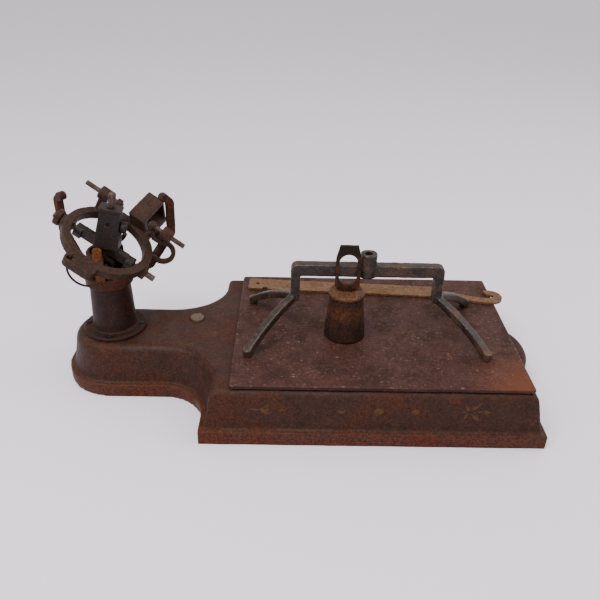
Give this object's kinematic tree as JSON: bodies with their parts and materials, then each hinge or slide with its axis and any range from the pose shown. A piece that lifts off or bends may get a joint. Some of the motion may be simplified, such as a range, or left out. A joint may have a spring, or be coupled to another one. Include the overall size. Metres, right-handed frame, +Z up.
{
  "type": "counter platform scale",
  "caption": "Cast-iron counter platform scale with a pillar-mounted beam lever, a loose cradle, a weight and a weigh beam lying on its platform.",
  "frame": {"origin": "under the middle of the overall outline, on the plane the base stands on", "axes": "+X along the base from the pillar to the lobe, +Y to the back, +Z up"},
  "size_m": [0.5584, 0.27, 0.229],
  "materials": {
    "base_iron": "rusty, worn paint",
    "pillar_iron": "rusty",
    "head_iron": "rusty, worn",
    "inner_iron": "rusty",
    "stirrup_iron": "dark, worn",
    "cradle_iron": "worn black paint",
    "weight_iron": "dark rust",
    "platform_paint": "worn maroon paint",
    "dark_steel": "dull, rusty",
    "pin_steel": "dull, worn",
    "beam_steel": "tan, worn",
    "orange_rust": "orange rust",
    "seal_metal": "dull lead-grey",
    "lead": "dull lead"
  },
  "bodies": {
    "stand": {"base_casting": "base_iron", "seal_plug": "seal_metal", "pillar": "pillar_iron", "pillar_screws": "dark_steel", "beam_yoke": "head_iron", "stop_tab": "orange_rust", "long_lever_stands": "inner_iron", "short_lever_stands": "inner_iron"},
    "platform": {"platform_plate": "platform_paint", "platform_feet": "inner_iron"},
    "long_lever": {"long_lever": "inner_iron", "long_lever_pivots": "dark_steel", "tip_pin": "dark_steel"},
    "short_lever": {"short_lever": "inner_iron", "short_lever_pivots": "dark_steel"},
    "beam_lever": {"beam_lever": "head_iron", "fulcrum_pins": "pin_steel", "load_pins": "pin_steel"},
    "stirrup": {"load_stirrup": "stirrup_iron", "stirrup_stem": "pin_steel", "side_screw": "stirrup_iron", "stirrup_eye": "dark_steel"},
    "rod": {"steelyard_rod": "dark_steel"},
    "shackle_right": {"shackle_right": "head_iron"},
    "shackle_left": {"shackle_left": "head_iron"},
    "bearing_loop": {"bearing_loop": "head_iron"},
    "wire_loop": {"wire_loop": "dark_steel"},
    "cradle": {"cradle": "cradle_iron"},
    "weight": {"weight_body": "weight_iron", "weight_hanger": "weight_iron", "lead_plug": "lead"},
    "weigh_beam": {"weigh_beam": "beam_steel"}
  },
  "joints": [
    {"name": "beam_rock", "type": "hinge", "parent": "stand", "child": "beam_lever", "pos_m": [-0.18224, 0.02732, 0.19088], "axis": [0.8343, -0.1713, -0.524], "range_deg": [-6, 0]},
    {"name": "stirrup_hang", "type": "hinge", "parent": "beam_lever", "child": "stirrup", "pos_m": [-0.21325, -0.00192, 0.16442], "axis": [0.8343, -0.1713, -0.524], "range_deg": [0, 6.1]},
    {"name": "rod_hang", "type": "hinge", "parent": "stirrup", "child": "rod", "pos_m": [-0.21325, -0.00192, 0.13592], "axis": [0.9626, 0.271, 0], "range_deg": [0, 2.18]},
    {"name": "long_lever_rock", "type": "hinge", "parent": "stand", "child": "long_lever", "pos_m": [0.22596, 0, 0.024], "axis": [0, 1, 0], "range_deg": [0, 0.414]},
    {"name": "short_lever_rock", "type": "hinge", "parent": "stand", "child": "short_lever", "pos_m": [-0.06204, 0, 0.024], "axis": [0, 1, 0], "range_deg": [-0.414, 0]},
    {"name": "platform_rise", "type": "slide", "parent": "stand", "child": "platform", "axis": [0, 0, 1], "range_m": [0, 0.00026]},
    {"name": "shackle_right_swing", "type": "hinge", "parent": "beam_lever", "child": "shackle_right", "pos_m": [-0.18224, 0.02732, 0.19088], "axis": [0.8343, -0.1713, -0.524], "range_deg": [-6, 0]},
    {"name": "shackle_left_swing", "type": "hinge", "parent": "beam_lever", "child": "shackle_left", "pos_m": [-0.18224, 0.02732, 0.19088], "axis": [0.8343, -0.1713, -0.524], "range_deg": [0, 4]},
    {"name": "bearing_loop_turn", "type": "hinge", "parent": "beam_lever", "child": "bearing_loop", "pos_m": [-0.26122, 0.00793, 0.19455], "axis": [0.8343, -0.1713, -0.524], "continuous": true},
    {"name": "wire_loop_swing", "type": "hinge", "parent": "beam_lever", "child": "wire_loop", "pos_m": [-0.22006, -0.05182, 0.16284], "axis": [0, -1, 0], "range_deg": [-25, 12]},
    {"name": "cradle_lift", "type": "slide", "parent": "platform", "child": "cradle", "axis": [0, 0, 1], "range_m": [0, 0.12]},
    {"name": "weight_draw", "type": "slide", "parent": "platform", "child": "weight", "axis": [0, -1, 0], "range_m": [0, 0.05]},
    {"name": "weigh_beam_lift", "type": "slide", "parent": "platform", "child": "weigh_beam", "axis": [0, 0, 1], "range_m": [0, 0.06]}
  ],
  "couplings": [
    {"joint": "stirrup_hang", "follows": "beam_rock", "ratio": -1},
    {"joint": "rod_hang", "follows": "beam_rock", "ratio": -0.35574},
    {"joint": "long_lever_rock", "follows": "beam_rock", "ratio": -0.067644},
    {"joint": "short_lever_rock", "follows": "beam_rock", "ratio": 0.067644},
    {"joint": "platform_rise", "follows": "beam_rock", "m_per_rad": -0.0024352}
  ]
}
